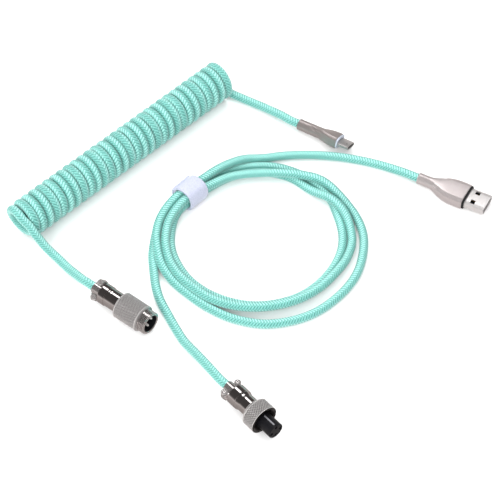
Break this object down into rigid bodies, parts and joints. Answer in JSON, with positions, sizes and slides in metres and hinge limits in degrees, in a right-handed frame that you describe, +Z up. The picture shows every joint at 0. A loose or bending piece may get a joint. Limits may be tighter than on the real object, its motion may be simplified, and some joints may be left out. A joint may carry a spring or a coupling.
{
  "type": "coiled usb cable",
  "caption": "Braided two-part USB cable for a mechanical keyboard: coiled half with USB-C plug, looped half with USB-A plug, joined by a round metal connector pair that lies unmated.",
  "frame": {"origin": "on the table, under the middle of the box round the four connectors and the tie", "axes": "+Z up from the table; +X to the right and +Y away, as the cable is laid out in front of a viewer"},
  "size_m": [0.2503, 0.2383, 0.021],
  "materials": {
    "mint_braid": "braided polyester sleeve, slight sheen",
    "tie_fabric": "hook-and-loop strap, matte",
    "chrome": "polished",
    "knurled_chrome": "satin, fine diamond knurl",
    "steel_screw": "zinc plated",
    "champagne_metal": "satin champagne anodised",
    "nickel": "bright nickel plated sheet",
    "gold_contact": "gold plated",
    "black_insulator": "moulded, matte",
    "black_gasket": "matte",
    "pale_plastic": "moulded, satin",
    "circuit_board": "solder mask"
  },
  "bodies": {
    "keyboard_half": {"male_front_shell": "knurled_chrome", "male_insulator": "black_insulator", "male_pin_1": "gold_contact", "male_pin_2": "gold_contact", "male_pin_3": "gold_contact", "male_pin_4": "gold_contact", "male_barrel": "chrome", "male_clamp_saddle": "chrome", "male_clamp_screw_1": "steel_screw", "male_clamp_screw_2": "steel_screw", "male_grub_screw": "steel_screw", "keyboard_lead": "mint_braid", "coil": "mint_braid"},
    "usb_c_end": {"usb_c_lead": "mint_braid", "usb_c_housing": "champagne_metal", "usb_c_bezel": "pale_plastic", "usb_c_shell": "nickel", "usb_c_contact_carrier": "black_insulator", "usb_c_board": "circuit_board"},
    "host_half": {"female_barrel": "chrome", "female_insert": "black_insulator", "female_socket_1": "gold_contact", "female_socket_2": "gold_contact", "female_socket_3": "gold_contact", "female_socket_4": "gold_contact", "female_clamp_saddle": "chrome", "female_clamp_screw_1": "steel_screw", "female_clamp_screw_2": "steel_screw", "female_grub_screw": "steel_screw", "host_lead": "mint_braid", "loops": "mint_braid", "cable_tie": "tie_fabric"},
    "coupling_nut": {"female_coupling_nut": "knurled_chrome"},
    "usb_a_end": {"usb_a_lead": "mint_braid", "usb_a_housing": "champagne_metal", "usb_a_gasket": "black_gasket", "usb_a_shell": "nickel", "usb_a_tongue": "black_insulator", "usb_a_contact_1": "gold_contact", "usb_a_contact_2": "gold_contact", "usb_a_contact_3": "gold_contact", "usb_a_contact_4": "gold_contact", "usb_a_board": "circuit_board"}
  },
  "joints": [
    {"name": "coil_stretch", "type": "slide", "parent": "keyboard_half", "child": "usb_c_end", "axis": [0.6985, 0.7156, 0], "range_m": [0, 0.12], "stiffness_N_per_m": 20, "deforming": ["coil"]},
    {"name": "host_half_apart", "type": "slide", "parent": "keyboard_half", "child": "host_half", "axis": [0.9659, -0.2588, 0], "range_m": [0, 0.06]},
    {"name": "nut_spin", "type": "hinge", "parent": "host_half", "child": "coupling_nut", "pos_m": [-0.0211, -0.0878, 0.0075], "axis": [0.6613, -0.7501, 0], "continuous": true},
    {"name": "usb_a_lead_bend", "type": "hinge", "parent": "host_half", "child": "usb_a_end", "pos_m": [0.024, 0.0776, 0.0023], "axis": [0, 0, 1], "range_deg": [-12, 8], "stiffness_Nm_per_rad": 0.02, "deforming": ["usb_a_lead"]}
  ]
}
